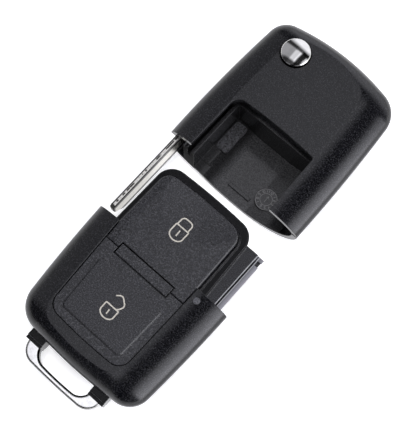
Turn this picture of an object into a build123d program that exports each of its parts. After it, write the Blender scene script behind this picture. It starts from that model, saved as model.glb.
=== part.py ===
from build123d import *
from math import cos, pi, radians, sin, sqrt
import os

# Two-button flip key shell, in millimetres. +X is across the key, +Y runs from the remote half to the
# head, +Z is the button face. Every piece is drawn on the joined key, with its seam at y = 0, and
# seated() then sets its half down: the head lies pulled off the remote half.

# Outer form
half_width = 18.6
side_bow_head_left = 1.0
side_bow_head_right = 1.5
side_bow_tail_left = 2.2
side_bow_tail_right = 1.3
head_length = 40.0
head_crown = 2.6
remote_length = 29.7
tail_crown = 1.3
corner_radius = 5.5
corner_extra = 1.2
parting_z = 12.0
front_height = 4.0
plateau_left_reach = 6.0
plateau_right_reach = 8.6
plateau_end_reach = 3.2
back_side_reach = 13.9
back_end_reach = 7.0
wall = 1.4
pull_apart = 23.25
joined_gap = 0.10
seam_bulge = 0.8
loop_reach = 5.5

# Fits
slide_gap = 0.30
button_gap = 0.12
shaft_gap = 0.05
seat_gap = 0.04

# Key pads: half-plan corners, shared by the pads, the frame and both front shells
pad_top_y = 15.6
pad_bottom_y = 5.8 - remote_length
pad_left_top = 6.65 - half_width
pad_left_seam = 6.35 - half_width
pad_left_bottom = 7.6 - half_width
pad_right_top = half_width - 8.7
pad_right_seam = half_width - 8.4
pad_right_bottom = half_width - 8.85
pad_crown = 0.5
pad_corner_left = 2.6
pad_corner_right = 3.2
pad_corner_bottom = 3.0
pad_split_y = -4.65
pad_top_drop = 0.30
pad_travel = 0.60
raised_key_height = 0.35
raised_key_left = 2.5
raised_key_left_foot = 2.05
raised_key_right = 2.1
raised_key_drop = 3.75
raised_key_foot = 2.2
raised_key_corner = 1.0
dish_x = -0.6
dish_y = pad_top_y + 0.4
dish_radius = 9.8
dish_depth = 0.45
facet_x = pad_left_seam + 2.35
facet_angle = 4
bar_length = 14.5
bar_width = 2.4
bar_x = -1.0
bar_y = -4.6
bar_margin = 0.35
bar_flange_drop = 1.2

# Black frame round the pads, and the tray that it closes
frame_bottom_z = 12.0
frame_thickness = 1.2
frame_band_top = 2.4
frame_band_left = 1.7
frame_band_right = 2.2
frame_taper = 0.5
frame_corner = 4.2
lip_width = 0.55
lip_height = 0.5
tray_right = half_width - 3.8
tray_reach = 14.8
tray_back = remote_length - 15.7
tray_wall = 1.0
tray_tail_depth = 4.0
tray_side_gap = 0.6
tray_floor_gap = 0.9
rail_drop = 0.3
rail_slot = 0.4
rail_outer = half_width - 2.1
rail_notch = 1.2
rail_outer_drop = 1.1
rail_back = 2.5
rail_slot_depth = 0.9
rail_slot_end = 1.2
rail_notch_end = 0.9
rail_notch_side = 0.2
tray_upper_depth = 2.0
membrane_thickness = 0.7
membrane_drop = 1.1
membrane_low_y = pad_bottom_y + 3.4
dome_height = 0.1
dome_radius = 2.6
rib_near_y = -4.0
rib_spacing = remote_length / 4
rib_half_length = half_width / 2

# Blade, its channel and its hub
blade_thickness = 1.2
blade_width = 6.6
blade_outer_x = 1.3 - half_width
blade_tip_y = 7.9 - remote_length
blade_edge_break = 0.18
blade_tip_break = 0.8
blade_tip_slope = 2.7
blade_tip_round = 1.8
blade_groove_depth = 0.25
blade_groove_width = 2.2
channel_right = blade_outer_x + 2.7
partition_right = channel_right + 3.3
sill_bottom = 1.4
sill_top = 2.6
channel_tail = 1.5
pivot_x = 9.6 - half_width
pivot_y = head_length - 8.2
hub_bottom_z = 2.9
hub_height = 8.8
hub_radius = 6.0
hub_wall = 1.3
hub_sweep = 10.4
lug_front = 5.6
lug_back = 4.0
post_radius = 1.5
pin_radius = 0.8
pin_length = 3.3
pin_offset = 2.6
slot_right = pivot_x + 8.7

# Release button and its spring
button_radius = 3.4
button_hole_radius = 3.7
button_stand = 1.5
button_dome = 0.8
button_travel = 1.7
neck_radius = 2.85
flange_radius = 3.6
flange_height = 0.8
collar_wall = 1.2
spring_radius = 4.15
spring_wire = 0.55
spring_turns = 3.0

# Head pocket
pocket_depth = 15.4
window_corner = 2.4
strip_right = partition_right + 4.4
strip_z = 2.6
strip_step_y = 2.2
strip_step = 0.25
rail_left = partition_right - 0.9
groove_left = partition_right - 2.1
groove_bottom = 8.0
chip_cover_width = 3.4
chip_cover_length = 8.2
chip_cover_height = 0.4
rib_length = 6.3
rib_width = 0.9
rib_x = 0.5
rib_y = 2.2
rib_top = 2.0
dial_radius = 2.7
dial_x = half_width - 12.0
dial_y = 4.7
dial_top = 2.45

# Screw of the head
screw_x = half_width - 13.6
screw_y = head_length - 13.0
screw_radius = 0.9
screw_head_radius = 1.8
screw_head_height = 1.2
screw_length = 12.0
screw_recess = 0.8
boss_radius = 2.3
foot_radius = 3.2

# Key-ring loop and its carrier
lug_x = half_width - 9.5
lug_width = 4.2
lug_height = 4.8
lug_reach = 1.9
lug_step = 0.8
carrier_z = 8.0
carrier_depth = 2.0
carrier_back = 4.0
loop_half_width = lug_x + 1.4
loop_thickness = 1.4
loop_height = 3.0
loop_corner = 3.8
loop_leg = 3.3
loop_inner_corner = 3.2
loop_bow = 0.35
loop_seat = 1.5
loop_edge = 0.6

# Small light
led_x = pad_right_seam + 1.6
led_y = -2.1
led_radius = 0.75
led_flange = 0.15
led_drop = 0.3

far = 100.0
plateau_z = parting_z + front_height
seam_y = (remote_length + loop_reach - head_length - pull_apart) / 2
pad_top_z = plateau_z - pad_top_drop
frame_top_z = frame_bottom_z + frame_thickness
pad_bottom_z = frame_bottom_z + pad_travel - 0.2
pressed_z = pad_bottom_z - pad_travel - 0.1
membrane_z = frame_bottom_z - membrane_drop
blade_inner_x = blade_outer_x + blade_thickness
tray_left = partition_right + slide_gap
hub_top_z = hub_bottom_z + hub_height
blade_top_z = hub_top_z
blade_bottom_z = blade_top_z - blade_width


def block(x0, x1, y0, y1, z0, z1):
    """Box between two corners."""
    size = Box(x1 - x0, y1 - y0, z1 - z0, align=(Align.MIN, Align.MIN, Align.MIN))
    return Pos(x0, y0, z0) * size


def disc(x, y, radius, z0, z1):
    """Upright cylinder between two heights."""
    return Pos(x, y, z0) * Cylinder(radius, z1 - z0, align=(Align.CENTER, Align.CENTER, Align.MIN))


def outline(z, left, right, end, corner):
    """Plan of the joined key at one height, drawn in by the insets of its sides and ends."""
    x_left = left - half_width
    x_right = half_width - right
    x_mid = (x_left + x_right) / 2
    y_top = head_length - head_crown - end
    y_bottom = tail_crown - remote_length + end
    y_mid = (y_top + y_bottom) / 2
    share = (x_right - x_left) / (2 * half_width)
    top_left = (x_left + side_bow_head_left * share, y_top)
    top_right = (x_right - side_bow_head_right * share, y_top)
    bottom_left = (x_left + side_bow_tail_left * share, y_bottom)
    bottom_right = (x_right - side_bow_tail_right * share, y_bottom)
    corners = (
        (top_left, corner),
        (top_right, corner + corner_extra * share),
        (bottom_left, corner + corner_extra * share),
        (bottom_right, corner),
    )
    with BuildSketch(Plane.XY.offset(z)) as plan:
        with BuildLine():
            ThreePointArc(bottom_left, (x_mid, end - remote_length), bottom_right)
            ThreePointArc(bottom_right, (x_right, y_mid), top_right)
            ThreePointArc(top_right, (x_mid, head_length - end), top_left)
            ThreePointArc(top_left, (x_left, y_mid), bottom_left)
        make_face()
        for point, radius in corners:
            fillet(plan.vertices().sort_by_distance(point)[0], radius)
    return plan.sketch.faces()[0]


def roll(rise, height, reach, stretch=0.04):
    """Inset of an elliptic flank at a rise above its foot, out to its reach at full height."""
    full = height * (1 + stretch)
    return reach * (1 - sqrt(1 - (rise / full) ** 2)) / (1 - sqrt(1 - (height / full) ** 2))


def front_form(offset):
    """Shallow front of the joined key, or its inside where offset is the wall."""
    height = front_height - offset
    levels = [height * step for step in (0, 0.35, 0.65, 0.85, 1)]
    wires = []
    for rise in levels:
        left = offset + roll(rise, height, plateau_left_reach - offset / 2)
        right = offset + roll(rise, height, plateau_right_reach - offset / 2)
        end = offset + roll(rise, height, plateau_end_reach - offset / 2)
        corner = corner_radius - offset / 2 - rise / 2
        wires.append(outline(parting_z + rise, left, right, end, corner).outer_wire())
    return Part() + Solid.make_loft(wires)


def back_form(offset):
    """Deep rounded back of the joined key, or its inside where offset is the wall."""
    height = parting_z - offset
    levels = [height * step for step in (0, 0.25, 0.5, 0.75, 0.92, 1)]
    wires = []
    for depth in levels:
        side = offset + roll(depth, height, back_side_reach - offset, 0.033)
        end = offset + roll(depth, height, back_end_reach - offset, 0.033)
        corner = corner_radius - offset / 2 - depth / 5
        wires.append(outline(parting_z - depth, side, side, end, corner).outer_wire())
    return Part() + Solid.make_loft(wires)


def pad_plan(grow, y_low, y_high, corners):
    """Plan of the key pads between two heights, grown by a clearance."""
    middle = (pad_left_seam + pad_right_seam) / 2
    top_left = (pad_left_top - grow, pad_top_y - pad_crown + grow)
    top_right = (pad_right_top + grow, pad_top_y - pad_crown + grow)
    bottom_left = (pad_left_bottom - grow, pad_bottom_y + pad_crown - grow)
    bottom_right = (pad_right_bottom + grow, pad_bottom_y + pad_crown - grow)
    with BuildSketch() as plan:
        with BuildLine():
            Polyline(top_right, (pad_right_seam + grow, 0), bottom_right)
            ThreePointArc(bottom_right, (middle, pad_bottom_y - grow), bottom_left)
            Polyline(bottom_left, (pad_left_seam - grow, 0), top_left)
            ThreePointArc(top_left, (middle, pad_top_y + grow), top_right)
        make_face()
        for point, radius in (
            (top_left, corners[0]),
            (top_right, corners[1]),
            (bottom_left, pad_corner_bottom),
            (bottom_right, pad_corner_bottom),
        ):
            fillet(plan.vertices().sort_by_distance(point)[0], radius + grow)
        with Locations((0, (y_low + y_high) / 2)):
            Rectangle(far, y_high - y_low, mode=Mode.INTERSECT)
    return plan.sketch


def pad_prism(grow, y_low, y_high, z0, z1, corners=(pad_corner_left, pad_corner_right)):
    """Upright block on the pads' plan."""
    return Pos(0, 0, z0) * extrude(pad_plan(grow, y_low, y_high, corners), z1 - z0)


def bar_block(grow, z0, z1):
    """Block on the plan of the blank centre bar, grown by a margin."""
    half_length = bar_length / 2 + grow
    half_depth = bar_width / 2 + grow
    return block(bar_x - half_length, bar_x + half_length, bar_y - half_depth, bar_y + half_depth, z0, z1)


def housing_form():
    """Squarer form of the key with a broken lower edge, for the side that carries the blade."""
    levels = ((0, 2.4), (0.5, 1.4), (1.5, 0.7), (parting_z - sill_bottom, 0.6))
    wires = [outline(sill_bottom + up, d, d, d, corner_radius - 0.5).outer_wire() for up, d in levels]
    return Part() + Solid.make_loft(wires, ruled=True)


def head_side():
    """Everything on the head's side of the seam of the backs, which bows towards the tail."""
    radius = (half_width ** 2 + seam_bulge ** 2) / (2 * seam_bulge)
    bow = disc(0, radius - seam_bulge, radius, -1, parting_z)
    return (bow & block(-far, far, -seam_bulge, far, -1, parting_z)) + block(-far, far, 0, far, -1, parting_z)


def blade_housing(right, y_low, y_high):
    """Left side of the housing, out to an inner edge and between two ends."""
    return housing_form() & block(-far, right, y_low, y_high, 0, parting_z)


def hub_housing():
    """Squarer corner of the head round the hub, as far as the end of the hub's slot."""
    right = slot_right + wall
    side = disc(pivot_x, pivot_y, hub_sweep + 1.0, 0, parting_z) & block(-far, right, -far, far, 0, parting_z)
    return housing_form() & (side + block(pivot_x, right, pivot_y, far, 0, parting_z))


def head_pocket():
    """Space in the head that takes the tongue of the remote half."""
    space = back_form(wall) & block(partition_right, far, -1, pocket_depth, 0, parting_z + 1)
    space = space + block(partition_right, strip_right, -1, pocket_depth, strip_z, parting_z + 1)
    space = space + block(partition_right, strip_right, -1, strip_step_y, strip_z - strip_step, parting_z)
    return space + block(groove_left, rail_left, -1, pocket_depth - 1, groove_bottom, parting_z + 1)


def head_hollow():
    """Hollow beside the hub, behind the pocket's end wall."""
    space = back_form(wall) & block(partition_right, far, pocket_depth + wall, far, 0, parting_z + 1)
    return space - disc(pivot_x, pivot_y, hub_sweep + wall, 0, far)


def blade_room():
    """Slot that the blade and its hub sweep through, open at the left side and the top end."""
    low, high = sill_top, parting_z + 1
    side = block(-far, channel_right, -1, pivot_y, low, high)
    corner = block(-far, slot_right, pivot_y, far, low, high)
    return side + corner + disc(pivot_x, pivot_y, hub_sweep, low, high)


def frame_way():
    """Room under the head's front for the frame and the pressed pads."""
    left = pad_left_seam - frame_band_left - slide_gap
    right = pad_right_seam + frame_band_right + slide_gap
    return block(left, right, -1, pad_top_y + frame_band_top + slide_gap, pressed_z, parting_z + 1)


def screw_space():
    """Through hole of the head's screw, with the recess of its head."""
    recess = disc(screw_x, screw_y, screw_head_radius + slide_gap, -1, screw_recess + screw_head_height)
    return recess + disc(screw_x, screw_y, screw_radius + shaft_gap, 0, parting_z + 1)


def pocket_marks():
    """Cross rib and round date pad on the floor of the pocket."""
    half_rib = rib_length / 2
    rib = block(rib_x - half_rib, rib_x + half_rib, rib_y - rib_width / 2, rib_y + rib_width / 2, 0, rib_top)
    dial = disc(dial_x, dial_y, dial_radius, 0, dial_top)
    return (rib + dial) & back_form(wall / 2)


def head_back_shell():
    """Deep back of the head: pocket, blade slot, pivot post and screw boss."""
    shell = back_form(0) + blade_housing(strip_right, -seam_bulge, head_length) + hub_housing()
    shell = shell & head_side()
    shell = shell - head_pocket() - head_hollow() - blade_room() - frame_way()
    shell = shell + pocket_marks()
    shell = shell + disc(screw_x, screw_y, boss_radius, 1, parting_z)
    shell = shell + disc(screw_x, screw_y, foot_radius, 1, screw_recess + screw_head_height + wall)
    shell = shell - screw_space()
    return shell + disc(pivot_x, pivot_y, post_radius, sill_top - 0.5, flange_bottom() - button_travel / 2)


def flange_bottom():
    """Height of the underside of the release button's flange at rest."""
    return hub_top_z - hub_wall - flange_height - 0.2


def head_front_shell():
    """Front of the head, with the pad window, the button's hole and the screw's boss."""
    shell = front_form(0) - front_form(wall)
    shell = shell & block(-far, far, 0, far, 0, far)
    shell = shell - pad_prism(joined_gap + 0.05, -1, far, 0, far, (window_corner, 0.4))
    collar_radius = button_hole_radius + collar_wall
    inside = front_form(wall / 2)
    collar = disc(pivot_x, pivot_y, collar_radius, parting_z + 0.1, plateau_z) & inside
    shell = shell + collar - disc(pivot_x, pivot_y, button_hole_radius, 0, far)
    boss = disc(screw_x, screw_y, boss_radius, parting_z, plateau_z - wall / 2)
    return shell + boss - disc(screw_x, screw_y, screw_radius + shaft_gap, 0, plateau_z - wall)


def chip_pocket_cover():
    """Textured lid of the chip slot, on the flat strip of the pocket's floor."""
    x0 = partition_right + slide_gap
    y1 = pocket_depth - 0.5
    lid = block(x0, x0 + chip_cover_width, y1 - chip_cover_length, y1, strip_z, strip_z + chip_cover_height)
    return fillet(lid.edges().filter_by(Axis.Z), 0.8)


def head_screw():
    """Pan-head screw that holds the two shells of the head together."""
    seat = screw_recess + screw_head_height
    head = disc(screw_x, screw_y, screw_head_radius, screw_recess, seat)
    head = chamfer(head.edges().group_by(Axis.Z)[0], 0.35)
    slot = block(screw_x - 1.2, screw_x + 1.2, screw_y - 0.25, screw_y + 0.25, 0, screw_recess + 0.6)
    cross = block(screw_x - 0.25, screw_x + 0.25, screw_y - 1.2, screw_y + 1.2, 0, screw_recess + 0.6)
    return head + disc(screw_x, screw_y, screw_radius, seat, seat + screw_length) - slot - cross


def key_blade():
    """Uncut steel blade, folded along the left side, its root against the hub's lug."""
    low, high = blade_bottom_z, blade_top_z
    profile = [
        (pivot_y + lug_back, low),
        (pivot_y + lug_back, high),
        (blade_tip_y + blade_tip_break, high),
        (blade_tip_y, high - blade_tip_break),
        (blade_tip_y, (low + high) / 2),
        (blade_tip_y + blade_tip_slope, low),
    ]
    with BuildSketch(Plane.YZ.offset(blade_outer_x)) as side:
        with BuildLine():
            Polyline(*profile, close=True)
        make_face()
        for corner in profile[-2:]:
            fillet(side.vertices().sort_by_distance(corner)[0], blade_tip_round)
    blade = extrude(side.sketch, blade_thickness)
    long_edges = blade.edges().filter_by(Axis.Y)
    blade = chamfer(long_edges, blade_edge_break)
    groove_z = (low + high) / 2
    groove = block(blade_outer_x - 1, blade_outer_x + blade_groove_depth, blade_tip_y - 1,
                   pivot_y - 2 * lug_front, groove_z - blade_groove_width / 2,
                   groove_z + blade_groove_width / 2)
    return blade - groove - pin_shape(pin_radius + seat_gap)


def pin_shape(radius):
    """Cross pin through the blade's root into the hub's lug."""
    start = Location((blade_outer_x, pivot_y - pin_offset, (blade_bottom_z + blade_top_z) / 2), (0, 90, 0))
    return start * Cylinder(radius, pin_length, align=(Align.CENTER, Align.CENTER, Align.MIN))


def blade_pin():
    """Hollow roll pin."""
    pin = pin_shape(pin_radius)
    return pin - pin_shape(pin_radius / 2)


def blade_hub():
    """Turning hub: a drum on the pivot post with the lug that carries the blade."""
    low, high = hub_bottom_z, hub_top_z
    drum = disc(pivot_x, pivot_y, hub_radius, low, high)
    lug = block(blade_inner_x, pivot_x, pivot_y - lug_front, pivot_y + lug_back, low, high)
    room = disc(pivot_x, pivot_y, hub_radius - hub_wall, low + hub_wall, high - hub_wall)
    hub = drum + lug - room
    hub = hub - disc(pivot_x, pivot_y, post_radius + shaft_gap, 0, low + hub_wall + 1)
    hub = hub - disc(pivot_x, pivot_y, neck_radius + shaft_gap, high - hub_wall - 1, far)
    return hub - pin_shape(pin_radius + seat_gap)


def release_button():
    """Domed release button with its neck and the flange that keeps it in the hub."""
    base = hub_top_z + button_travel + 0.1
    crown = plateau_z + button_stand
    rim = crown - button_dome
    edge = button_radius - 0.15
    ball = (edge ** 2 + button_dome ** 2) / (2 * button_dome)
    low = flange_bottom()
    with BuildSketch(Plane.XZ) as half:
        with BuildLine():
            Polyline((0, low), (flange_radius, low), (flange_radius, low + flange_height),
                     (neck_radius, low + flange_height), (neck_radius, base), (button_radius, base),
                     (button_radius, rim - 0.15), (edge, rim))
            ThreePointArc((edge, rim), (edge / 2, crown - ball + sqrt(ball ** 2 - edge ** 2 / 4)), (0, crown))
            Line((0, crown), (0, low))
        make_face()
    turned = revolve(half.sketch, Axis.Z)
    button = Pos(pivot_x, pivot_y, 0) * turned
    return button - disc(pivot_x, pivot_y, post_radius + slide_gap / 2, 0, low + 2 * button_travel)


def flip_spring():
    """Square-wire coil spring in the hub that throws the blade out and lifts the button."""
    low = hub_bottom_z + hub_wall + spring_wire
    high = flange_bottom() - spring_wire
    path = Helix((high - low) / spring_turns, high - low, spring_radius)
    section = Plane(origin=path @ 0, x_dir=(1, 0, 0), z_dir=path % 0) * Rectangle(spring_wire, spring_wire)
    coil = sweep(section, path=path, is_frenet=True)
    return Pos(pivot_x, pivot_y, low) * coil


def lug_block(side, grow):
    """One lug of the ring carrier, out through the end wall."""
    x0 = side * lug_x - lug_width / 2 - grow
    x1 = side * lug_x + lug_width / 2 + grow
    low = carrier_z - lug_height / 2 - grow
    high = carrier_z + lug_height / 2 + grow
    return block(x0, x1, -remote_length - lug_reach, carrier_back - remote_length + grow, low, high)


def carrier_bar(grow):
    """Cross bar of the ring carrier, just inside the end wall."""
    inner = carrier_back - remote_length
    half_length = lug_x + lug_width / 2 + grow
    low = carrier_z - lug_height / 2 - grow
    high = carrier_z + lug_height / 2 + grow
    return block(-half_length, half_length, inner - grow, inner + carrier_depth + grow, low, high)


def ring_carrier():
    """Cross bar inside the tail with the two stepped lugs that hold the key-ring loop."""
    body = carrier_bar(0)
    end = -remote_length - lug_reach
    low = carrier_z - lug_height / 2
    high = carrier_z + lug_height / 2
    for side in (-1, 1):
        above = block(-far, far, -far, end + lug_step, high - 0.5, far)
        below = block(-far, far, -far, end + lug_step, -far, low + 0.5)
        body = body + (lug_block(side, 0) - above - below)
    return body - loop_form(seat_gap)


def loop_form(grow):
    """Chrome loop: thick legs in the lugs and a thinner bow across the end of the key."""
    foot = loop_seat - remote_length - lug_reach + grow
    half = loop_half_width + grow
    inner = loop_half_width - loop_leg - grow
    out = -remote_length - loop_reach - grow
    bow = out + loop_thickness + 2 * grow
    with BuildSketch() as plan:
        with BuildLine():
            Polyline((-half, out + loop_bow), (-half, foot), (half, foot), (half, out + loop_bow))
            ThreePointArc((half, out + loop_bow), (0, out), (-half, out + loop_bow))
        make_face()
        fillet(plan.vertices().group_by(Axis.Y)[0], loop_corner + grow)
    with BuildSketch() as gap:
        with BuildLine():
            Polyline((-inner, bow + loop_bow), (-inner, foot + 1), (inner, foot + 1), (inner, bow + loop_bow))
            ThreePointArc((inner, bow + loop_bow), (0, bow), (-inner, bow + loop_bow))
        make_face()
        fillet(gap.vertices().group_by(Axis.Y)[0], loop_inner_corner - grow)
    height = loop_height + 2 * grow
    loop = Pos(0, 0, carrier_z - height / 2) * extrude(plan.sketch - gap.sketch, height)
    if grow > 0:
        return loop
    levels = loop.edges().group_by(Axis.Z)
    return fillet(levels[0] + levels[-1], loop_edge)


def remote_room():
    """Hollow of the remote half behind the tray, open at the seam."""
    space = back_form(wall) & block(partition_right, far, -far, 1, 0, parting_z + 1)
    return space


def remote_channel():
    """Blade channel of the remote half, open at the left side and at the seam."""
    return block(-far, channel_right, blade_tip_y - channel_tail, 1, sill_top, parting_z + 1)


def tray_ribs():
    """Two cross ribs that carry the tray inside the remote half."""
    ribs = Part()
    left = tray_left + slide_gap
    for y in (rib_near_y, rib_near_y - rib_spacing):
        ribs = ribs + block(left, rib_half_length, y - wall / 2, y + wall / 2, 0, parting_z / 2)
    return (ribs & back_form(wall / 2)) - tray_section(-seat_gap, -far, far, -far, far)


def remote_back_shell():
    """Deep back of the remote half with the blade channel and the slots of the ring lugs."""
    shell = back_form(0) & block(-far, far, -far, 0, -1, parting_z)
    shell = shell + blade_housing(partition_right, blade_tip_y - channel_tail - wall, 0)
    shell = shell - head_side() - remote_room() - remote_channel() + tray_ribs()
    for side in (-1, 1):
        shell = shell - lug_block(side, seat_gap)
    return shell - carrier_bar(seat_gap) - pad_prism(button_gap, -far, 1, pressed_z, far)


def remote_front_shell():
    """Front of the remote half, open for the pads up to the seam."""
    shell = front_form(0) - front_form(wall)
    shell = shell & block(-far, far, -far, 0, 0, far)
    shell = shell - pad_prism(joined_gap + 0.05, -far, 1, 0, far)
    return shell - disc(led_x, led_y, led_radius + seat_gap, 0, far)


def frame_plan():
    """Plan of the black frame: a band round the pads, wider on the right and at the top."""
    left = pad_left_seam - frame_band_left
    right = pad_right_seam + frame_band_right
    top_y = pad_top_y + frame_band_top
    top_left = (pad_left_top - frame_band_left, top_y - pad_crown)
    top_right = (pad_right_top + frame_band_right - frame_taper, top_y - pad_crown)
    bottom_left = (pad_left_bottom - frame_band_left, pad_bottom_y - frame_band_left)
    bottom_right = (pad_right_bottom + frame_band_right - frame_taper, pad_bottom_y - frame_band_left)
    with BuildSketch() as plan:
        with BuildLine():
            Polyline(top_right, (right, 0), bottom_right, bottom_left, (left, 0), top_left)
            ThreePointArc(top_left, ((left + right) / 2, top_y), top_right)
        make_face()
        fillet(plan.vertices().group_by(Axis.Y)[-1], frame_corner)
        fillet(plan.vertices().group_by(Axis.Y)[0], pad_corner_bottom)
    return plan.sketch


def tongue_frame():
    """Black frame that guides the pads and slides in under the head's front."""
    plate = Pos(0, 0, frame_bottom_z) * extrude(frame_plan(), frame_thickness)
    plate = chamfer(plate.edges().group_by(Axis.Z)[-1], 0.25)
    lip = pad_prism(button_gap + lip_width, -far, far, frame_top_z, frame_top_z + lip_height)
    lip = chamfer(lip.edges().group_by(Axis.Z)[-1], lip_width / 2)
    return plate + lip - pad_prism(button_gap, -far, far, 0, far)


def tray_section(shrink, x0, x1, y0, y1):
    """Length of the tray's rounded underside between two sides, drawn in by a wall."""
    a = half_width - wall - tray_side_gap - shrink
    b = parting_z - wall - tray_floor_gap - shrink
    with BuildSketch(Plane.XZ.offset(-y0)) as section:
        with Locations((0, parting_z)):
            Ellipse(a, b)
        with Locations(((x0 + x1) / 2, 0)):
            Rectangle(x1 - x0, 2 * (parting_z - rail_outer_drop), mode=Mode.INTERSECT)
    return extrude(section.sketch, y0 - y1)


def tray_hollow():
    """Inside of the tray, with the rebate of the rubber sheet and room for the pressed pads."""
    left = tray_left + tray_wall
    right = pad_right_top + 0.4
    y0, y1 = tray_wall - tray_back, tray_reach - tray_wall
    outer_z = parting_z - rail_outer_drop
    space = tray_section(tray_wall, left, right, y0, y1)
    space = space + block(left, right, y0, y1, outer_z - tray_upper_depth, far)
    tail_floor = outer_z - tray_tail_depth + tray_wall
    space = space + block(left, right - 0.4, pad_bottom_y + 2 * tray_wall, y0 + 1, tail_floor, far)
    space = space + membrane_plan(button_gap, membrane_z, far)
    return space + pad_prism(button_gap, -far, far, pressed_z, far)


def tongue_tray():
    """Tray of the tongue: rounded underside, stepped rail on the right and an open top."""
    rail_z = frame_bottom_z - rail_drop
    y0, y1 = -tray_back, tray_reach
    outer_z = parting_z - rail_outer_drop
    under = tray_section(0, tray_left, tray_right, y0, y1)
    outer = tray_section(0, tray_right, rail_outer, -rail_back, y1)
    upper = block(tray_left, tray_right, y0, y1, outer_z - tray_upper_depth, rail_z)
    rim = Pos(0, 0, rail_z) * extrude(frame_plan(), rail_drop) & block(tray_left, far, y0, y1, 0, far)
    tail = block(tray_left, pad_right_bottom + 0.6, pad_bottom_y + tray_wall, y0,
                 outer_z - tray_tail_depth, frame_bottom_z)
    slot_z = outer_z - rail_slot_depth
    slot = block(tray_right, tray_right + rail_slot, -rail_back - 1, y1 - rail_slot_end, slot_z, far)
    notch_x = tray_right + rail_slot + rail_notch_side
    notch_y = y1 - rail_notch_end
    notch = block(notch_x, far, notch_y - rail_notch, notch_y, slot_z, far)
    return under + outer + upper + rim + tail - slot - notch - tray_hollow()


def membrane_plan(grow, z0, z1):
    """Block on the plan of the rubber sheet under the pads."""
    left = tray_left + tray_wall / 2 - grow
    right = pad_right_top + 0.8 + grow
    return block(left, right, membrane_low_y - grow, tray_reach - tray_wall / 2 + grow, z0, z1)


def button_membrane():
    """Rubber sheet with a dome under each pad."""
    high = membrane_z + membrane_thickness
    sheet = membrane_plan(0, membrane_z, high)
    for y in (pad_top_y / 2, (pad_split_y + pad_bottom_y) / 2):
        sheet = sheet + disc(bar_x, y, dome_radius, membrane_z, high + dome_height)
    return sheet


def lock_button():
    """Upper pad with its finger dish, notched for the centre bar."""
    pad = pad_prism(-button_gap / 4, pad_split_y + button_gap, far, pad_bottom_z, pad_top_z)
    pad = chamfer(pad.edges().group_by(Axis.Z)[-1], 0.25)
    ball = (dish_radius ** 2 + dish_depth ** 2) / (2 * dish_depth)
    dish = Pos(dish_x, dish_y, pad_top_z + ball - dish_depth) * Sphere(ball)
    slope = Pos(facet_x, 0, pad_top_z) * Rot(0, -facet_angle, 0) * block(-far, 0, -far, far, 0, far)
    return pad - dish - slope - bar_block(bar_margin, 0, far)


def unlock_button():
    """Lower pad with its raised key, notched for the centre bar."""
    pad = pad_prism(-button_gap / 4, -far, pad_split_y, pad_bottom_z, pad_top_z)
    top = pad_split_y - raised_key_drop
    foot = pad_bottom_y + raised_key_foot
    points = [
        (pad_left_seam + raised_key_left, top),
        (pad_right_seam - raised_key_right, top),
        (pad_right_bottom - raised_key_right, foot),
        (pad_left_bottom + raised_key_left_foot, foot),
    ]
    with BuildSketch() as key:
        with BuildLine():
            Polyline(*points, close=True)
        make_face()
        fillet(key.vertices(), raised_key_corner)
    raised = Pos(0, 0, pad_top_z - 0.5) * extrude(key.sketch, 0.5 + raised_key_height)
    raised = chamfer(raised.edges().group_by(Axis.Z)[-1], 0.25)
    return pad + raised - bar_block(bar_margin, 0, far)


def centre_bar():
    """Blank bar between the pads, standing on the rubber sheet."""
    low = membrane_z + membrane_thickness
    bar = bar_block(bar_margin - button_gap, low, pad_top_z - bar_flange_drop)
    return bar + bar_block(0, low, pad_top_z)


def led_lens():
    """Small light pipe beside the pads, on the frame."""
    lens = disc(led_x, led_y, led_radius, frame_top_z, plateau_z - led_drop)
    return lens + disc(led_x, led_y, led_radius + led_flange, frame_top_z, frame_top_z + 0.4)


def keyring_loop():
    """Chrome loop at the tail."""
    return loop_form(0)


def seated(shape, in_head):
    """The piece where its half lies: the head pulled off along the key."""
    return Pos(0, seam_y + (pull_apart if in_head else 0), 0) * shape


head_pieces = [
    head_back_shell, head_front_shell, chip_pocket_cover, head_screw, key_blade, blade_pin,
    blade_hub, release_button, flip_spring,
]
remote_pieces = [
    remote_back_shell, remote_front_shell, tongue_frame, tongue_tray, button_membrane, lock_button,
    unlock_button, centre_bar, led_lens, ring_carrier, keyring_loop,
]

os.makedirs("parts", exist_ok=True)
for pieces, in_head in ((head_pieces, True), (remote_pieces, False)):
    for piece in pieces:
        export_step(seated(piece(), in_head), f"parts/{piece.__name__}.step")
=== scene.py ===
"""Looks of the flip key remote shell: node materials, printed marks, studio light and camera."""

import math
from functools import reduce

import bmesh
import bpy
from mathutils import Matrix, Vector
from mathutils.bvhtree import BVHTree


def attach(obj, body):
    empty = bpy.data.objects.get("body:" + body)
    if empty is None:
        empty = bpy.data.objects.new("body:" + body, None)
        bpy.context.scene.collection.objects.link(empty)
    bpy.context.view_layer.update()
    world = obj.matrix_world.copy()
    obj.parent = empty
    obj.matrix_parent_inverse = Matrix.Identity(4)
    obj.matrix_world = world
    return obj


# Lengths and places in this script are millimetres of the key's own frame
MM = 0.001

# Head: its seat along the key, the inside of its shells with its painted light and painted shade, and the
# strip and partition on the pocket's left
HEAD_Y = 9.225
PARTING_Z = 12.0
INSIDE_X = 14.2
INSIDE_Z = (1.3, 14.6)
INSIDE_END_Y = HEAD_Y + 17.0
PAINTED_SHADE_Y = (HEAD_Y + 16.0, HEAD_Y + 25.0)
STRIP_X = -5.5
PARTITION_X = -11.0

# Folded blade, with the depth of the painted dark reflection line along each edge and of the painted shade
# on its end
BLADE_X = (-17.3, -16.1)
BLADE_Z = (5.1, 11.7)
BLADE_TIP_Y = HEAD_Y - 21.8
BLADE_LOWER_LINE = 1.6
BLADE_UPPER_LINE = 1.3
BLADE_RIM_LINE = 0.38
BLADE_END_LINE = 0.45
NICK_ROW = 0.18

# Key-ring loop: the middle of its gap and the rounding of its edges
LOOP_CENTRE_Y = -44.0
LOOP_ROUND = 0.3
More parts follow.
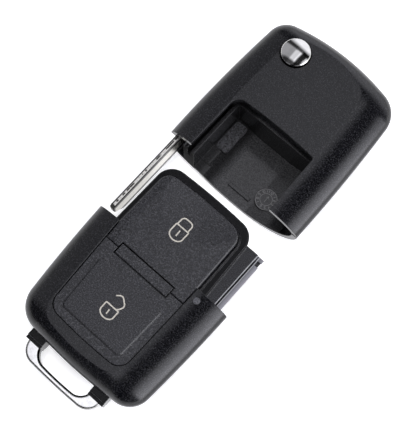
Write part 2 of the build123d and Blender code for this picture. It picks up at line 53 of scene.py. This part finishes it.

# Top of the tray's rail, its slot, how far the painted light on the rail fades in, and the painted
# highlights beside the slot
RAIL_Z = 10.9
SLOT_X = (14.8, 15.2)
RAIL_LIGHT_FADE = 1.3
SLOT_HIGHLIGHTS = (0.12, 0.16)

# Pale edges of the plastics, part rubbed wear and part painted highlight, and the black plastic of both
# pairs of shells
EDGE_WEAR_AND_HIGHLIGHT_WIDTH = 0.10
SHELL = {
    "colour": (0.0030, 0.0031, 0.0045), "roughness": 0.18, "grain": 3.8, "depth": 0.0025,
    "edge": 0.25, "wear_and_highlight": 0.05, "speck": 0.026,
}

# Printed padlocks, and the raised rings and numbers of the date pad in the pocket, all laid on the surface
# that a ray from above meets, and sunk into it a little
RAY_HEIGHT = 50
MARK_SINK = 0.02
MARK_WIDTH = 0.30
MARK_HEIGHT = 0.045
DIAL = (6.6, HEAD_Y + 4.7)
DIAL_RADIUS = 2.7
RING_INSETS = (0.15, 1.25)
POINTER_FOOT = 0.8
POINTER_TIP = 0.9
POINTER_BARB = (0.35, 0.45)
NUMBER_RADIUS = DIAL_RADIUS - 0.7
NUMBER_SIZE = 0.62
NUMBER_WIDTH = 0.11
NUMBER_HEIGHT = 0.06
DIGIT_WIDTH = 0.5
DIGIT_PITCH = 0.8

# Brightness of the room by how far a direction points across the key, from left to right, and the share
# of it by how far the direction points along the key, from the tail to the head
ROOM = ((-1.0, 0.55), (-0.45, 0.46), (-0.29, 0.50), (-0.18, 1.17), (0.02, 1.05), (0.13, 1.55),
        (0.23, 0.03), (0.50, 0.02), (0.66, 2.6), (0.90, 5.0))
ROOM_ALONG = ((-1.0, 0.30), (-0.75, 0.08), (-0.34, 0.08), (-0.20, 1.0), (0.42, 1.0), (0.51, 0.08))
ROOM_TINT = (0.975, 0.98, 1.05, 1)

# Light beyond the head and how far along it sets in, then the white band low round the room, brighter on
# the right, and the height over which it gives way
BACK_LEVEL = 1.5
BACK_START = (0.62, 0.80)
HORIZON = ((-1.0, 1.0), (0.40, 1.0), (0.80, 2.2))
HORIZON_TOP = (0.12, 0.24)

# Lamp overhead, with its power in watts
KEY_HEIGHT = 400
KEY_SIZE = 40
KEY_POWER = 0.38
KEY_TINT = (1.0, 0.99, 0.97)

# Floor, half its width, and the glow that lifts it to white
FLOOR_HALF = 1500
FLOOR_DROP = 0.02
FLOOR_COLOUR = (0.86, 0.86, 0.88, 1)
FLOOR_GLOW = 0.62
WHITE = (1, 1, 1, 1)

# Camera, with half the photograph's height and its focal length in pixels
CAMERA_PLACE = (33.3, -38.8, 205.3)
CAMERA_TARGET = (-1.21, 0.08, 8.0)
CAMERA_NEAR = 10
HALF_PICTURE = 215
FOCAL_LENGTH = 906.5

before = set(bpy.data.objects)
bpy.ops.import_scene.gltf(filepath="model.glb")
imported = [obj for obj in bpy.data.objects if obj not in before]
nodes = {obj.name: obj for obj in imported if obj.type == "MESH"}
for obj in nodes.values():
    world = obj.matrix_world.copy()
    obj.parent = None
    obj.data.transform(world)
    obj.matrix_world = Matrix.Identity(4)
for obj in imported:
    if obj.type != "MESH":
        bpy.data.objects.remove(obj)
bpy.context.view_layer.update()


class Graph:
    """Nodes of a material or a world in the making."""

    def __init__(self, tree):
        self.tree = tree

    def add(self, kind, **settings):
        node = self.tree.nodes.new(kind)
        for key, value in settings.items():
            setattr(node, key, value)
        return node

    def feed(self, socket, value):
        if isinstance(value, bpy.types.NodeSocket):
            self.tree.links.new(value, socket)
        else:
            socket.default_value = value

    def ramp(self, value, low, high, start=0.0, end=1.0):
        """Value mapped from low..high to start..end, clamped."""
        node = self.add("ShaderNodeMapRange", clamp=True)
        for name, number in (("From Min", low), ("From Max", high), ("To Min", start), ("To Max", end)):
            node.inputs[name].default_value = number
        self.feed(node.inputs["Value"], value)
        return node.outputs["Result"]

    def above(self, value, edge, soft):
        """1 above the edge, with a soft step round it."""
        return self.ramp(value, edge - soft, edge + soft)

    def below(self, value, edge, soft):
        """1 below the edge, with a soft step round it."""
        return self.ramp(value, edge + soft, edge - soft)

    def within(self, value, low, high, soft=0.05):
        """1 between two values, with a soft step outside each."""
        return self.both(self.ramp(value, low - soft, low), self.ramp(value, high + soft, high))

    def math(self, operation, a, b=0.0):
        node = self.add("ShaderNodeMath", operation=operation)
        self.feed(node.inputs[0], a)
        self.feed(node.inputs[1], b)
        return node.outputs[0]

    def both(self, *masks):
        """Product: 1 where every mask is."""
        return reduce(lambda a, b: self.math("MULTIPLY", a, b), masks)

    def either(self, *masks):
        """Maximum: 1 where any mask is."""
        return reduce(lambda a, b: self.math("MAXIMUM", a, b), masks)

    def mix(self, share, a, b):
        node = self.add("ShaderNodeMix", data_type="RGBA")
        self.feed(node.inputs["Factor"], share)
        self.feed(node.inputs["A"], a)
        self.feed(node.inputs["B"], b)
        return node.outputs["Result"]

    def profile(self, value, points):
        """Value from -1 to 1 read off a line through (value, level) points."""
        node = self.add("ShaderNodeValToRGB")
        self.feed(node.inputs[0], self.ramp(value, -1, 1))
        stops = node.color_ramp.elements
        while len(stops) < len(points):
            stops.new(0.5)
        for stop, (place, level) in zip(stops, points):
            stop.position = (place + 1) / 2
            stop.color = (level, level, level, 1)
        return node.outputs[0]

    def split(self, vector):
        node = self.add("ShaderNodeSeparateXYZ")
        self.feed(node.inputs[0], vector)
        return node.outputs


class Finish(Graph):
    """A node material in the making."""

    def __init__(self, name):
        self.material = bpy.data.materials.new(name)
        self.material.use_nodes = True
        super().__init__(self.material.node_tree)
        self.tree.nodes.clear()
        self.shader = self.add("ShaderNodeBsdfPrincipled")
        output = self.add("ShaderNodeOutputMaterial")
        self.tree.links.new(self.shader.outputs[0], output.inputs[0])
        self.place = self.add("ShaderNodeTexCoord").outputs["Object"]
        self.normal = self.add("ShaderNodeNewGeometry").outputs["Normal"]

    def millimetres(self, axes):
        """The place along each of these axes."""
        place = self.split(self.place)
        return [self.math("DIVIDE", place[axis], MM) for axis in axes]

    def noise(self, per_mm, detail=2.0, stretch=(1, 1, 1), shift=(0, 0, 0)):
        """Noise with that many features per millimetre, drawn out along an axis of low stretch."""
        mapping = self.add("ShaderNodeMapping")
        self.feed(mapping.inputs["Vector"], self.place)
        mapping.inputs["Location"].default_value = shift
        mapping.inputs["Scale"].default_value = [per_mm * s / MM for s in stretch]
        texture = self.add("ShaderNodeTexNoise")
        self.feed(texture.inputs["Vector"], mapping.outputs[0])
        texture.inputs["Scale"].default_value = 1.0
        texture.inputs["Detail"].default_value = detail
        return texture.outputs["Fac"]

    def rounded(self, radius):
        """Normal with the edges rounded by that radius."""
        bevel = self.add("ShaderNodeBevel", samples=4)
        bevel.inputs["Radius"].default_value = radius * MM
        return bevel.outputs[0]

    def edges(self, radius):
        """1 on edges sharper than that radius."""
        dot = self.add("ShaderNodeVectorMath", operation="DOT_PRODUCT")
        self.feed(dot.inputs[0], self.rounded(radius))
        self.feed(dot.inputs[1], self.normal)
        return self.ramp(dot.outputs["Value"], 0.995, 0.94)

    def bump(self, height, depth, normal):
        """The normal with a bump of that depth on it."""
        node = self.add("ShaderNodeBump")
        node.inputs["Strength"].default_value = 1.0
        node.inputs["Distance"].default_value = depth * MM
        self.feed(node.inputs["Height"], height)
        self.feed(node.inputs["Normal"], normal)
        return node.outputs["Normal"]

    def finish(self, colour, roughness, normal, metallic=0.0, level=0.5):
        """Set the shader; the last two are constants, which the export keeps."""
        for name, value in (("Base Color", colour), ("Roughness", roughness), ("Normal", normal),
                            ("Metallic", metallic), ("Specular IOR Level", level)):
            self.feed(self.shader.inputs[name], value)
        return self

    def paint(self, mask, colour):
        """Lay a colour over the finished one."""
        socket = self.shader.inputs["Base Color"]
        self.feed(socket, self.mix(mask, socket.links[0].from_socket, colour))

    def roughen(self, mask):
        """Make the finished surface matt there."""
        socket = self.shader.inputs["Roughness"]
        self.feed(socket, self.either(socket.links[0].from_socket, mask))


def shade(colour, factor):
    return tuple(c * factor for c in colour) + (1.0,)


def plastic(name, colour, roughness, grain, depth, level=0.42, edge=0.2, wear_and_highlight=0.03, speck=0.04):
    """Spark-eroded plastic: grain in tone, gloss and relief, faint mottling, and pale edges, part rubbed
    wear and part painted highlight.
    """
    g = Finish(name)
    fine = g.noise(grain)
    broad = g.noise(0.25, shift=(3.0, 1.0, 7.0))
    specks = g.ramp(g.noise(grain, 1.0, shift=(9.0, 4.0, 2.0)), 0.50, 0.68)
    tone = g.mix(g.ramp(fine, 0.40, 0.60), shade(colour, 0.1), shade(colour, 1.9))
    tone = g.mix(g.ramp(broad, 0.35, 0.7, 0.0, 0.35), tone, shade(colour, 0.8))
    tone = g.mix(specks, tone, (speck, speck, speck * 1.12, 1.0))
    # Pale edges, part rubbed wear and part painted highlight, broken into patches
    edge_patches = g.ramp(g.noise(0.9, 3.0, shift=(2.0, 8.0, 5.0)), 0.38, 0.58, 0.25, 1.0)
    edge_wear_and_highlight = g.both(g.edges(EDGE_WEAR_AND_HIGHLIGHT_WIDTH), edge_patches)
    tone = g.mix(edge_wear_and_highlight, tone, (wear_and_highlight, wear_and_highlight, wear_and_highlight * 1.08, 1.0))
    rough = g.ramp(fine, 0.36, 0.64, roughness - 0.06, roughness + 0.06)
    rough = g.math("ADD", rough, g.math("MULTIPLY", edge_wear_and_highlight, -0.08))
    return g.finish(tone, rough, g.bump(fine, depth, g.rounded(edge)), level=level)


def tray_plastic():
    """Plastic of the tray, with painted light paling its outer rail towards the outside and painted
    highlights along both sides of the slot.
    """
    g = plastic("tray_black", (0.0085, 0.0087, 0.0120), 0.24, 6.0, 0.002, edge=0.5, wear_and_highlight=0.16, speck=0.02)
    x, z = g.millimetres("XZ")
    left, right = SLOT_X
    top = g.above(z, RAIL_Z - 0.065, 0.035)
    # Painted light: the rail's top painted paler towards its outer side
    rail_painted_light = g.mix(g.ramp(x, right, right + RAIL_LIGHT_FADE), (0.12, 0.12, 0.135, 1), (0.30, 0.30, 0.33, 1))
    g.paint(g.both(top, g.above(x, right + 0.025, 0.025)), rail_painted_light)
    # Painted highlights along both lips of the slot
    slot_highlights = g.either(g.within(x, left - SLOT_HIGHLIGHTS[0], left), g.within(x, right, right + SLOT_HIGHLIGHTS[1]))
    g.paint(g.both(top, slot_highlights), (0.42, 0.42, 0.44, 1))
    return g


def head_plastic():
    """Plastic of the head's shells, painted paler and duller inside as painted light, brightest on
    up-facing surfaces, with painted shade towards the strip and the far end, a painted highlight along the
    parting line, and a matt partition face painted as shade.
    """
    g = plastic("head_black", **SHELL)
    x, y, z = g.millimetres("XYZ")
    facing = g.split(g.normal)
    # Painted light inside the shells: up-facing surfaces paler than the walls, and painted shade darkening
    # them towards the strip and the far end
    inside = g.both(g.within(x, -INSIDE_X, INSIDE_X), g.within(z, *INSIDE_Z),
                    g.below(y, INSIDE_END_Y - 0.05, 0.05))
    marks = g.ramp(g.noise(4.0), 0.38, 0.64)
    floor = g.mix(marks, (0.025, 0.025, 0.0265, 1), (0.075, 0.075, 0.08, 1))
    painted_shade = g.either(g.ramp(x, STRIP_X, STRIP_X - 1.5), g.ramp(y, *PAINTED_SHADE_Y))
    floor = g.mix(g.math("MULTIPLY", painted_shade, 0.7), floor, (0.004, 0.004, 0.0042, 1))
    walls = (0.018, 0.018, 0.019, 1)
    g.paint(inside, g.mix(g.above(facing["Z"], 0.7, 0.2), walls, floor))
    # Painted highlight: a pale line round the inside at the parting
    g.paint(g.both(inside, g.within(z, PARTING_Z - 0.08, PARTING_Z + 0.04)), (0.16, 0.16, 0.17, 1))
    # Painted shade: the partition's end face painted dark, and made matt
    partition_shade = g.both(g.below(x, PARTITION_X - 0.05, 0.05), g.below(facing["Y"], -0.875, 0.075),
                       g.below(z, PARTING_Z, 0.1))
    g.roughen(partition_shade)
    g.paint(partition_shade, (0.006, 0.006, 0.0065, 1))
    return g


def bright_metal(name, colour, roughness):
    """Plated metal: near-mirror, with a faint haze and fine polishing marks."""
    g = Finish(name)
    haze = g.noise(0.6, 3.0)
    marks = g.noise(3.0, stretch=(1, 0.15, 1), shift=(1.0, 5.0, 2.0))
    tone = g.mix(g.ramp(haze, 0.35, 0.65), shade(colour, 0.93), shade(colour, 1.0))
    rough = g.ramp(haze, 0.3, 0.7, roughness * 0.7, roughness * 1.5)
    return g.finish(tone, rough, g.bump(marks, 0.002, g.rounded(0.15)), metallic=1.0)


def loop_metal():
    """Chrome of the loop: a bright crown, painted dark reflection lines where it rolls over, and an outer
    side painted darker as a painted reflection.
    """
    colour = (0.95, 0.945, 0.93)
    g = Finish("loop_chrome")
    haze = g.noise(1.2, 3.0)
    tone = g.mix(g.ramp(haze, 0.35, 0.6), shade(colour, 0.88), shade(colour, 1.0))
    rounded = g.rounded(LOOP_ROUND)
    facing = g.split(rounded)
    x, y = g.millimetres("XY")
    from_centre = g.math("SUBTRACT", y, LOOP_CENTRE_Y)
    away = g.math("ADD", g.math("MULTIPLY", x, facing["X"]), g.math("MULTIPLY", from_centre, facing["Y"]))
    outer = g.above(away, 0.0, 0.1)
    up = facing["Z"]
    # Painted reflections: dark lines where the loop rolls over, and the outer side painted darker
    outer_reflection_line = g.both(g.below(up, 0.975, 0.01), g.above(up, 0.825, 0.025))
    inner_reflection_line = g.ramp(up, 0.975, 0.95)
    tone = g.mix(g.both(outer, g.below(up, 0.825, 0.025)), tone, shade(colour, 0.5))
    tone = g.mix(g.mix(outer, inner_reflection_line, outer_reflection_line), tone, shade(colour, 0.005))
    rough = g.ramp(haze, 0.3, 0.7, 0.05, 0.12)
    return g.finish(tone, rough, g.bump(haze, 0.004, rounded), metallic=1.0)


def brushed_metal(name, colour, roughness, stretch, depth):
    """Metal with brush marks along the axis of least stretch."""
    g = Finish(name)
    marks = g.noise(6.0, 3.0, stretch=stretch)
    broad = g.noise(0.2, shift=(4.0, 2.0, 1.0))
    tone = g.mix(g.ramp(marks, 0.3, 0.7), shade(colour, 0.84), shade(colour, 1.05))
    tone = g.mix(g.ramp(broad, 0.4, 0.7, 0.0, 0.3), tone, shade(colour, 0.85))
    rough = g.ramp(marks, 0.3, 0.7, roughness * 0.8, roughness * 1.25)
    return g.finish(tone, rough, g.bump(marks, depth, g.rounded(0.12)), metallic=1.0)


def blade_metal():
    """Nickel silver: cross-brushed faces, painted dark reflection lines along the edges, painted shade on
    the end, and a row of short nicks along the top.
    """
    colour = (0.95, 0.925, 0.87)
    g = Finish("blade_nickel_silver")
    brush = g.noise(5.0, 3.0, stretch=(0.3, 1, 0.08))
    tone = g.mix(g.ramp(brush, 0.35, 0.65), shade(colour, 0.78), shade(colour, 1.0))
    x, y, z = g.millimetres("XYZ")
    facing = g.split(g.normal)
    top = g.above(facing["Z"], 0.85, 0.05)
    side = g.above(g.math("ABSOLUTE", facing["X"]), 0.85, 0.05)
    # Painted reflection: the chamfers, neither top nor side, painted dark
    broken = g.math("SUBTRACT", 1.0, g.either(top, side))
    offset = g.math("ABSOLUTE", g.math("SUBTRACT", x, sum(BLADE_X) / 2))
    nicks = g.ramp(g.noise(1.1, stretch=(0.4, 1, 0), shift=(2.0, 3.0, 0.0)), 0.50, 0.54)
    nicks = g.both(nicks, g.below(offset, NICK_ROW, 0.04), top)
    # Painted reflections along the sides' lower and upper edges and the top's left rim, and painted shade
    # on the end; the nicks are real marks
    low = g.below(z, BLADE_Z[0] + BLADE_LOWER_LINE, 0.1)
    high = g.above(z, BLADE_Z[1] - BLADE_UPPER_LINE, 0.1)
    rim = g.both(g.below(x, BLADE_X[0] + BLADE_RIM_LINE, 0.04), top)
    end = g.below(y, BLADE_TIP_Y + BLADE_END_LINE, 0.1)
    dark = g.either(broken, g.both(g.either(low, high), side), rim, nicks, end)
    tone = g.mix(g.math("MULTIPLY", dark, 0.95), tone, shade(colour, 0.02))
    height = g.math("SUBTRACT", brush, g.math("MULTIPLY", nicks, 2.0))
    rough = g.ramp(brush, 0.3, 0.7, 0.24, 0.4)
    return g.finish(tone, rough, g.bump(height, 0.006, g.rounded(0.05)), metallic=1.0)


def ink(name, colour):
    """Printed or moulded marks: slightly uneven cover."""
    g = Finish(name)
    cover = g.noise(4.0, 3.0)
    tone = g.mix(g.ramp(cover, 0.35, 0.65), shade(colour, 0.86), shade(colour, 1.05))
    return g.finish(tone, g.ramp(cover, 0.3, 0.7, 0.45, 0.6), g.bump(cover, 0.01, g.normal))


# The pale edge grey given to each plastic is part rubbed wear and part painted highlight
finishes = {
    "head": head_plastic(),
    "shell": plastic("shell_black", **SHELL),
    "frame": plastic("frame_black", (0.004, 0.004, 0.0048), 0.22, 6.0, 0.002, level=0.12, wear_and_highlight=0.14,
                     speck=0.01),
    "tray": tray_plastic(),
    "pad": plastic("pad_charcoal", (0.0075, 0.0077, 0.0105), 0.28, 3.8, 0.003, level=0.52, edge=0.25,
                   wear_and_highlight=0.06, speck=0.060),
    "carrier": plastic("carrier_gloss", (0.004, 0.004, 0.0045), 0.12, 3.0, 0.003, level=0.16, edge=0.3,
                       wear_and_highlight=0.25, speck=0.01),
    "cover": plastic("cover_grained", (0.040, 0.040, 0.044), 0.50, 3.5, 0.03, wear_and_highlight=0.08, speck=0.1),
    "membrane": plastic("membrane_rubber", (0.05, 0.05, 0.05), 0.6, 3.0, 0.02, speck=0.07),
    "light": plastic("light_pipe", (0.085, 0.085, 0.098), 0.35, 4.0, 0.006, edge=0.15, speck=0.12),
    "blade": blade_metal(),
    "hub": brushed_metal("hub_cast", (0.07, 0.07, 0.075), 0.35, (1, 1, 0.3), 0.01),
    "steel": brushed_metal("steel_plain", (0.5, 0.5, 0.51), 0.3, (1, 0.2, 1), 0.006),
    "chrome": bright_metal("chrome_bright", (0.62, 0.615, 0.60), 0.08),
    "loop": loop_metal(),
    "ink": ink("mark_cream", (0.62, 0.585, 0.52)),
    "numeral": ink("dial_numeral", (0.30, 0.30, 0.31)),
}

dressed = {
    "head": ("head_back_shell", "head_front_shell"),
    "shell": ("remote_back_shell", "remote_front_shell"),
    "frame": ("tongue_frame",),
    "tray": ("tongue_tray",),
    "pad": ("lock_button", "unlock_button", "centre_bar"),
    "carrier": ("ring_carrier",),
    "cover": ("chip_pocket_cover",),
    "membrane": ("button_membrane",),
    "light": ("led_lens",),
    "blade": ("key_blade",),
    "hub": ("blade_hub",),
    "steel": ("head_screw", "blade_pin", "flip_spring"),
    "chrome": ("release_button",),
    "loop": ("keyring_loop",),
}
for finish, names in dressed.items():
    for name in names:
        slots = nodes[name].data.materials
        slots.clear()
        slots.append(finishes[finish].material)


def surface(*names):
    """Ray target made of CAD nodes."""
    merged = bmesh.new()
    for name in names:
        merged.from_mesh(nodes[name].data)
    tree = BVHTree.FromBMesh(merged)
    merged.free()
    return tree


def drop(tree, x, y):
    """Height of the first surface under a point."""
    place, *_ = tree.ray_cast(Vector((x, y, RAY_HEIGHT)) * MM, Vector((0, 0, -1)))
    return place.z / MM


def paced(line, step=0.2):
    """The line with points no further apart than the step."""
    points = [Vector(line[0])]
    for a, b in zip(line, line[1:]):
        a, b = Vector(a), Vector(b)
        count = max(1, math.ceil((b - a).length / step))
        points += [a.lerp(b, i / count) for i in range(1, count + 1)]
    return points


def cross_sections(mesh, points, closed, width, height, tree):
    """Four corners of the raised line at each point, its foot sunk a little into the surface."""
    rows = []
    for i, p in enumerate(points):
        before = points[i - 1] if closed or i else p
        after = points[(i + 1) % len(points)] if closed or i < len(points) - 1 else p
        along = (after - before).normalized()
        side = Vector((-along.y, along.x)) * width / 2
        foot = drop(tree, p.x, p.y) - MARK_SINK
        row = []
        for edge, rise in ((1, 0), (1, height), (-1, height), (-1, 0)):
            q = p + side * edge
            row.append(mesh.verts.new((q.x * MM, q.y * MM, (foot + rise) * MM)))
        rows.append(row)
    return rows


def raised_marks(name, lines, width, height, tree, finish, body):
    """Raised lines, given as lists of points, laid on a surface as one piece."""
    mesh = bmesh.new()
    for line in lines:
        closed = line[0] == line[-1]
        points = paced(line)[:-1] if closed else paced(line)
        rows = cross_sections(mesh, points, closed, width, height, tree)
        course = rows + rows[:1] if closed else rows
        for a, b in zip(course, course[1:]):
            for k in range(4):
                mesh.faces.new((a[k], a[(k + 1) % 4], b[(k + 1) % 4], b[k]))
        if not closed:
            mesh.faces.new(rows[0])
            mesh.faces.new(list(reversed(rows[-1])))
    bmesh.ops.recalc_face_normals(mesh, faces=mesh.faces)
    data = bpy.data.meshes.new(name)
    mesh.to_mesh(data)
    mesh.free()
    data.materials.append(finishes[finish].material)
    piece = bpy.data.objects.new(name, data)
    bpy.context.scene.collection.objects.link(piece)
    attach(piece, body)


def arc(cx, cy, rx, ry, start, end, steps=14):
    """Points on an ellipse between two angles in degrees."""
    angles = [math.radians(start + (end - start) * i / steps) for i in range(steps + 1)]
    return [(cx + rx * math.cos(a), cy + ry * math.sin(a)) for a in angles]


def lock_body(x, top, straight, bottom, half_width=1.7, corner=0.12):
    """Closed shield of a padlock mark: a flat top, straight sides and a round foot."""
    line = arc(x - half_width + corner, top - corner, corner, corner, 180, 90, 3)
    line += arc(x + half_width - corner, top - corner, corner, corner, 90, 0, 3)
    line += arc(x, straight, half_width, straight - bottom, 0, -180, 18)
    return line + line[:1]


def closed_lock():
    """Locked padlock, shackle down."""
    x = -0.95
    shackle = [(x - 1.5, -6.2)] + arc(x - 0.6, -5.1, 0.9, 0.9, 180, 90, 6)
    shackle += arc(x + 0.5, -5.1, 0.9, 0.9, 90, 0, 6) + [(x + 1.4, -6.2)]
    return [lock_body(x, -6.3, -8.3, -9.6), shackle, [(-1.0, -7.1), (-0.9, -8.6)]]


def open_lock():
    """Unlocked padlock, shackle swung out to the upper right."""
    x = -0.55
    shackle = [(0.5, -28.75), (0.85, -28.4), (1.1, -28.0), (1.28, -27.55), (1.22, -27.1), (0.95, -26.75),
               (0.6, -26.5), (0.3, -26.25), (0.0, -26.0), (-0.4, -25.85), (-0.9, -26.0), (-1.6, -26.6)]
    return [lock_body(x, -28.85, -30.5, -31.7), shackle, [(-0.65, -29.7), (-0.55, -30.8)]]


# Corners of a seven-bar figure, left and right from its foot upwards, and the strokes of each digit
CORNERS = [(x, y) for y in (0.0, 0.5, 1.0) for x in (0.0, DIGIT_WIDTH)]
STROKES = {
    "0": ((0, 1), (1, 5), (5, 4), (4, 0)),
    "1": ((1, 5),),
    "2": ((4, 5), (5, 3), (3, 2), (2, 0), (0, 1)),
    "3": ((4, 5), (5, 1), (1, 0), (2, 3)),
    "4": ((4, 2), (2, 3), (5, 1)),
    "5": ((5, 4), (4, 2), (2, 3), (3, 1), (1, 0)),
    "6": ((5, 4), (4, 0), (0, 1), (1, 3), (3, 2)),
    "7": ((4, 5), (5, 1)),
    "8": ((0, 1), (1, 5), (5, 4), (4, 0), (2, 3)),
    "9": ((3, 2), (2, 4), (4, 5), (5, 1), (1, 0)),
}


def numeral(number):
    """Lines of a month's number, set round the date pad as on a clock, its foot towards the centre."""
    bearing = math.radians(30 * number)
    digits = str(number)
    lines = []
    for k, digit in enumerate(digits):
        shift = (k - (len(digits) - 1) / 2) * DIGIT_PITCH
        for stroke in STROKES[digit]:
            line = []
            for px, py in (CORNERS[corner] for corner in stroke):
                u = (px - DIGIT_WIDTH / 2 + shift) * NUMBER_SIZE
                v = NUMBER_RADIUS + (py - 0.5) * NUMBER_SIZE
                line.append((DIAL[0] + u * math.cos(bearing) + v * math.sin(bearing),
                             DIAL[1] - u * math.sin(bearing) + v * math.cos(bearing)))
            lines.append(line)
    return lines


def date_pad():
    """Two rings, twelve numbers and a pointer, as moulders mark the month."""
    x, y = DIAL
    lines = []
    for inset in RING_INSETS:
        ring = arc(x, y, DIAL_RADIUS - inset, DIAL_RADIUS - inset, 0, 360, 48)
        lines.append(ring[:-1] + ring[:1])
    for month in range(1, 13):
        lines += numeral(month)
    barb_x, barb_y = POINTER_BARB
    lines.append([(x, y - POINTER_FOOT), (x, y + POINTER_TIP)])
    lines.append([(x - barb_x, y + barb_y), (x, y + POINTER_TIP), (x + barb_x, y + barb_y)])
    return lines


pads = surface("lock_button", "unlock_button")
for name, body, lines in (
    ("lock_mark", "lock_pad", closed_lock()),
    ("unlock_mark", "unlock_pad", open_lock()),
):
    raised_marks(name, lines, MARK_WIDTH, MARK_HEIGHT, pads, "ink", body)

raised_marks("date_numbers", date_pad(), NUMBER_WIDTH, NUMBER_HEIGHT, surface("head_back_shell"),
             "numeral", "head")


def key_light():
    """Small square lamp overhead, pointing straight down, that gives the shadows."""
    lamp = bpy.data.lights.new("key_light", "AREA")
    lamp.size = KEY_SIZE * MM
    lamp.energy = KEY_POWER
    lamp.color = KEY_TINT
    light = bpy.data.objects.new("key_light", lamp)
    bpy.context.scene.collection.objects.link(light)
    light.location.z = KEY_HEIGHT * MM
    light.visible_glossy = False


def studio_floor():
    """Pale floor that keeps the object's shadow and glows to white where it is seen or mirrored."""
    mesh = bmesh.new()
    bmesh.ops.create_grid(mesh, x_segments=1, y_segments=1, size=FLOOR_HALF * MM)
    data = bpy.data.meshes.new("studio_floor")
    mesh.to_mesh(data)
    mesh.free()
    floor = bpy.data.objects.new("studio_floor", data)
    floor.location.z = -FLOOR_DROP * MM
    bpy.context.scene.collection.objects.link(floor)
    material = bpy.data.materials.new("studio_floor")
    material.use_nodes = True
    g = Graph(material.node_tree)
    shader = material.node_tree.nodes["Principled BSDF"]
    for name, value in (("Base Color", FLOOR_COLOUR), ("Roughness", 0.9), ("Specular IOR Level", 0.0),
                        ("Emission Color", WHITE)):
        shader.inputs[name].default_value = value
    path = g.add("ShaderNodeLightPath")
    seen = g.math("ADD", path.outputs["Is Camera Ray"], path.outputs["Is Glossy Ray"])
    seen = g.math("ADD", seen, path.outputs["Is Transmission Ray"])
    g.feed(shader.inputs["Emission Strength"], g.math("MULTIPLY", seen, FLOOR_GLOW))
    data.materials.append(material)


def studio_world():
    """Room with a soft light overhead, a dark band beside it and a bright right and far side."""
    world = bpy.data.worlds.new("studio_world")
    bpy.context.scene.world = world
    world.use_nodes = True
    g = Graph(world.node_tree)
    direction = g.split(g.add("ShaderNodeTexCoord").outputs["Generated"])
    level = g.math("MULTIPLY", g.profile(direction["X"], ROOM), g.profile(direction["Y"], ROOM_ALONG))
    level = g.math("MAXIMUM", level, g.ramp(direction["Y"], *BACK_START, 0, BACK_LEVEL))
    raised = g.ramp(direction["Z"], *HORIZON_TOP)
    low = g.math("MULTIPLY", g.math("SUBTRACT", 1.0, raised), g.profile(direction["X"], HORIZON))
    background = world.node_tree.nodes["Background"]
    g.feed(background.inputs["Color"], g.mix(raised, WHITE, ROOM_TINT))
    g.feed(background.inputs["Strength"], g.math("ADD", g.math("MULTIPLY", level, raised), low))


def camera():
    """Camera at the photograph's angle, above the key's lower right."""
    place = Vector(CAMERA_PLACE) * MM
    ahead = (Vector(CAMERA_TARGET) * MM - place).normalized()
    right = ahead.cross(Vector((0, 0, 1))).normalized()
    turn = Matrix((right, right.cross(ahead), -ahead)).transposed()
    data = bpy.data.cameras.new("camera")
    data.sensor_fit = "VERTICAL"
    data.angle = 2 * math.atan(HALF_PICTURE / FOCAL_LENGTH)
    data.clip_start = CAMERA_NEAR * MM
    eye = bpy.data.objects.new("camera", data)
    bpy.context.scene.collection.objects.link(eye)
    eye.matrix_world = Matrix.Translation(place) @ turn.to_4x4()
    bpy.context.scene.camera = eye


studio_floor()
studio_world()
key_light()
camera()

view = bpy.context.scene.view_settings
view.view_transform = "Standard"
